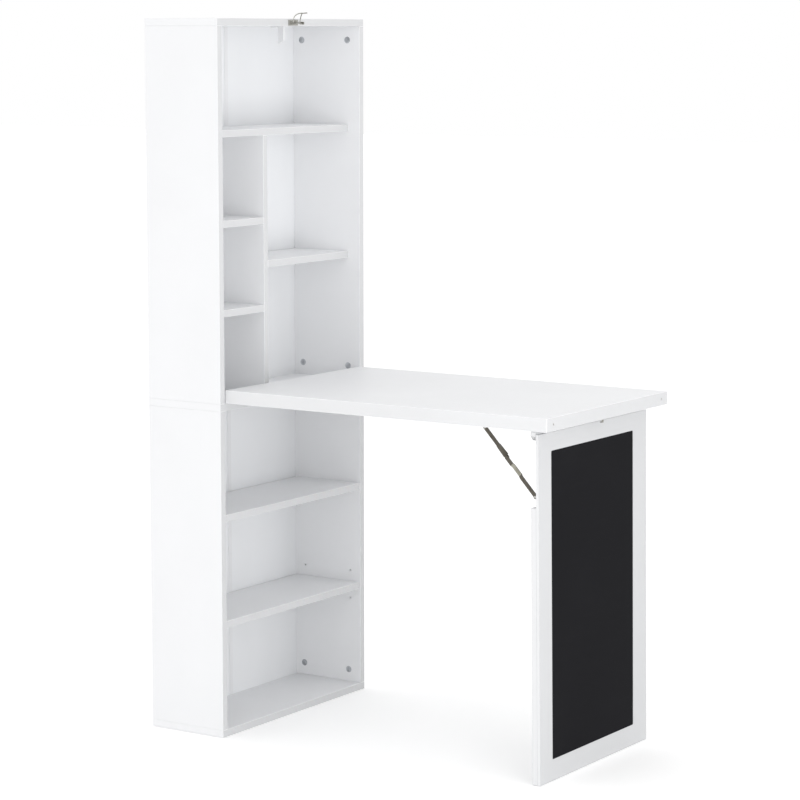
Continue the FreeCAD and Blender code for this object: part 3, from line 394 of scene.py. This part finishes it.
# ------------------------------------------------------------------ hinges
# Butt hinges of plated steel sheet, three on the flap and two on the leg. Each leaf is punched and rolled
# into knuckles round a steel pin, and screwed to its board.
dress(bright_steel, "desk_hinge_board_leaves", "desk_hinge_desk_leaves", "leg_hinge_desk_leaves",
      "leg_hinge_leg_leaves")

# ------------------------------------------------------------------ leg panel
# A thin banded panel with battens down its sides, a rail at its foot and a deeper rail at its top that
# carries the hinges. The battens stop short below the top rail, which leaves a gap for the folding stay.
# Its faces are painted a darker grey than the carcass, painted shade for the front face under the flap, and
# its edges that face left take the whiter band, painted light.
LEG_PAINTED_SHADE = (0.61, 0.615, 0.625)
leg_painted_shade = melamine("leg_painted_shade", LEG_PAINTED_SHADE, 0.6)
for node in ("leg_panel", "leg_top_rail", "leg_batten_left", "leg_batten_right", "leg_foot_rail"):
    board(node, (-1, 0, 0), "leg", leg_painted_shade, side_edge_painted_light)

# ------------------------------------------------------------------ chalkboard
# A sheet with a matt black writing coat, let into the leg's outer face. The coat is finely gritty, and wiped
# chalk has left faint pale clouds and sweeps in it.
SLATE = (0.0045, 0.0045, 0.0062)
CHALK_HAZE = (0.0125, 0.0125, 0.0145)
SHEET_ROUND = 0.0003
slate, shader, place = new_finish("chalkboard_coat", Specular_IOR_Level=0.09)
grit = place.noise(1500.0, 2.0)
clouds = place.noise(5.5, 5.0).between(0.42, 0.75)
sweeps = place.stretched((3.0, 1.0, 26.0)).noise(2.4, 4.0).between(0.5, 0.8)
haze = clouds * 0.55 + sweeps * 0.25
feed(shader, Base_Color=haze.blend(SLATE, CHALK_HAZE))
feed(shader, Roughness=0.62 + haze * 0.2 + grit * 0.08)
feed(shader, Normal=grit.bump(0.00005, 0.5))
sheet = soften(copied("chalkboard", "chalkboard_sheet"), SHEET_ROUND)
sheet.data.materials.append(slate)
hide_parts("chalkboard")
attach(sheet, "leg")

# ------------------------------------------------------------------ folding stays
# One stay on each side: two flat steel arms with round ends, joined by a rivet, in a dark, slightly brown
# plating. The lower arm has a short crank, painted paler as a highlight where its bends catch the light,
# and a stop rivet below it.
joints = {joint["name"]: joint for joint in frame["joints"]}
desk_pivot = Vector(joints["stay_upper_fold"]["pos_m"])
leg_pivot = Vector(joints["stay_lower_fold"]["pos_m"])
along = (leg_pivot - desk_pivot).normalized()
across = Vector((0, -along.z, along.y))
# Where the crank and the stop rivet are is measured from the flap's pivot, along the straight stay.
CRANK_START = 0.100
CRANK_END = 0.124
CRANK_BEND = 0.004
CRANK_RISE = 0.0014
CRANK_MARGIN = 0.0005
STOP_RIVET_STATION = 0.134
STOP_RIVET_RADIUS = 0.0021
STOP_RIVET_HEIGHT = 0.0009
STOP_RIVET_PROUD = 0.00035
RIVET_HEAD = 0.0006
ARM_ROUND = 0.00035
stay_steel = plated("stay_plate", (0.155, 0.143, 0.122), 0.27, (5, 1, 1), (0.095, 0.085, 0.07))
# A paler copy of the plating: a painted highlight for the crank.
stay_crank_painted_highlight = plated("stay_plate_painted_highlight", (0.44, 0.43, 0.37), 0.3, (5, 1, 1), (0.27, 0.26, 0.21))
for node, body in (("stay_upper_arms", "stay_upper"), ("stay_lower_arms", "stay_lower"),
                   ("stay_desk_brackets", "desk"), ("stay_leg_brackets", "leg")):
    arm = copied(node, node + "_plated")
    arm.data.materials.append(stay_steel)
    if body == "stay_lower":
        arm.data.materials.append(stay_crank_painted_highlight)
        arm_face = max(abs(corner.co.x) for corner in arm.data.vertices) - RIVET_HEAD
        bpy.ops.object.mode_set(mode="EDIT")
        mesh = bmesh.from_edit_mesh(arm.data)
        for station in (CRANK_START - CRANK_BEND, CRANK_START, CRANK_END, CRANK_END + CRANK_BEND):
            everything = mesh.verts[:] + mesh.edges[:] + mesh.faces[:]
            bmesh.ops.bisect_plane(mesh, geom=everything, dist=0.000001,
                                   plane_co=desk_pivot + along * station, plane_no=along)
        for corner in mesh.verts:
            station = (corner.co - desk_pivot).dot(along)
            if CRANK_START - CRANK_MARGIN < station < CRANK_END + CRANK_MARGIN:
                corner.co -= across * CRANK_RISE
        # The crank's faces take the paler plating, a painted highlight where the bent facets catch the
        # light.
        for face in mesh.faces:
            station = (face.calc_center_median() - desk_pivot).dot(along)
            face.material_index = int(CRANK_START - CRANK_BEND < station < CRANK_END)
        bmesh.update_edit_mesh(arm.data)
        spot = desk_pivot + along * STOP_RIVET_STATION
        for side in (-1, 1):
            bpy.ops.mesh.select_all(action="DESELECT")
            bpy.ops.mesh.primitive_cylinder_add(
                vertices=24, radius=STOP_RIVET_RADIUS, depth=STOP_RIVET_HEIGHT, rotation=(0, math.pi / 2, 0),
                location=(side * (arm_face + STOP_RIVET_PROUD), spot.y, spot.z))
        bpy.ops.object.mode_set(mode="OBJECT")
    soften(arm, ARM_ROUND, shortest=0.002)
    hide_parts(node)
    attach(arm, body)

# ------------------------------------------------------------------ lock sleeves
# A sleeve folded from steel sheet round each upper arm, with the same plating. It slides down towards the
# joint to lock the stay, and it is deeper at that end.
SLEEVE_OUTSIDE = 0.005
SLEEVE_TAPER = 0.82
SLEEVE_ROUND = 0.0004
for side in ("left", "right"):
    ring = copied("stay_sleeve_" + side, "lock_sleeve_" + side)
    middle = sum((vertex.co for vertex in ring.data.vertices), Vector()) / len(ring.data.vertices)
    for vertex in ring.data.vertices:
        offset = vertex.co - middle
        outside = abs(offset.dot(across)) > SLEEVE_OUTSIDE
        if outside and offset.dot(along) < 0:
            vertex.co = vertex.co - across * offset.dot(across) * (1 - SLEEVE_TAPER)
    soften(ring, SLEEVE_ROUND, shortest=0.002)
    ring.data.materials.append(stay_steel)
    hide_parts("stay_sleeve_" + side)
    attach(ring, "sleeve_" + side)

# ------------------------------------------------------------------ latch base, lever and keeper
# Pressed from nickel-plated sheet. The base is screwed to the top board's front edge, and the keeper to the
# flap's free end. The lever turns on a pin in the base. Its web ends in a curled lip for the fingertip.
LIP_STEPS = ((0, -0.0016, -0.0006), (0, -0.001, -0.0012))
PRESSED_ROUND = 0.0002
nickel = plated("nickel_plate", (0.46, 0.455, 0.43), 0.2, (1, 5, 5), (0.30, 0.29, 0.25))
for node, body in (("latch_base", "cabinet"), ("latch_keeper", "desk"), ("latch_lever", "latch_lever")):
    piece = copied(node, node + "_pressed")
    if node == "latch_lever":
        # Only the faces at the tip of the web stay selected, and the lip grows from them.
        pick(piece)
        tip = min(vertex.co.y for vertex in piece.data.vertices)
        for polygon in piece.data.polygons:
            polygon.select = polygon.normal.y < -0.9 and abs(polygon.center.y - tip) < 0.0001
        for edge in piece.data.edges:
            edge.select = False
        for vertex in piece.data.vertices:
            vertex.select = False
        bpy.ops.object.mode_set(mode="EDIT")
        bpy.ops.mesh.select_mode(type="FACE")
        for step in LIP_STEPS:
            bpy.ops.mesh.extrude_region_move(TRANSFORM_OT_translate={"value": step})
        bpy.ops.object.mode_set(mode="OBJECT")
    soften(piece, PRESSED_ROUND, shortest=0.001)
    piece.data.materials.append(nickel)
    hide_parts(node)
    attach(piece, body)

# ------------------------------------------------------------------ latch bail
# One length of nickel-plated spring wire. Each end turns in through a cheek of the lever. The legs bow
# outwards, close in, and meet in a narrow eye that drops over the keeper's hook.
bail_low, bail_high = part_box("latch_bail")
bail_pivot = Vector(joints["latch_bail_turn"]["pos_m"])
WIRE = 0.0011
CHEEK = 0.0068
half_width = bail_high.x - WIRE
bail_line = Vector((0, bail_low.y + WIRE, bail_high.z - WIRE)) - bail_pivot
reach_whole = bail_line.length
bail_way = bail_line.normalized()
bow_way = Vector((0, bail_way.z, -bail_way.y))
# Half of the wire, from its end in the cheek to the eye: place across, share of the reach, and bow.
half_wire = [(CHEEK, 0, 0),
             (half_width * 0.9, 0, 0),
             (half_width * 1.08, 0.02, 0.001),
             (half_width * 1.12, 0.16, 0.0055),
             (half_width, 0.38, 0.0092),
             (half_width * 0.62, 0.58, 0.0092),
             (0.0036, 0.74, 0.0062),
             (0.0022, 0.82, 0.004),
             (0.0046, 0.9, 0.0018),
             (0.0048, 0.97, 0.0003),
             (0.0026, 1.0, 0)]
full_wire = half_wire + [(-x, reach, bow) for x, reach, bow in reversed(half_wire)]
wire_data = bpy.data.curves.new("latch_wire", "CURVE")
wire_data.dimensions = "3D"
wire_data.bevel_depth = WIRE
wire_data.bevel_resolution = 5
wire_data.resolution_u = 6
wire_data.use_fill_caps = True
line = wire_data.splines.new("NURBS")
line.points.add(len(full_wire) - 1)
for point, (x, reach, bow) in zip(line.points, full_wire):
    spot = bail_pivot + Vector((x, 0, 0)) + bail_way * reach_whole * reach + bow_way * bow
    point.co = (*spot, 1)
line.order_u = 3
line.use_endpoint_u = True
wire = bpy.data.objects.new("latch_wire", wire_data)
bpy.context.scene.collection.objects.link(wire)
pick(wire)
bpy.ops.object.convert(target="MESH")
wire = bpy.context.object
bpy.ops.object.shade_smooth_by_angle(angle=math.radians(60))
wire.data.materials.clear()
wire.data.materials.append(nickel)
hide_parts("latch_bail")
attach(wire, "latch_bail")
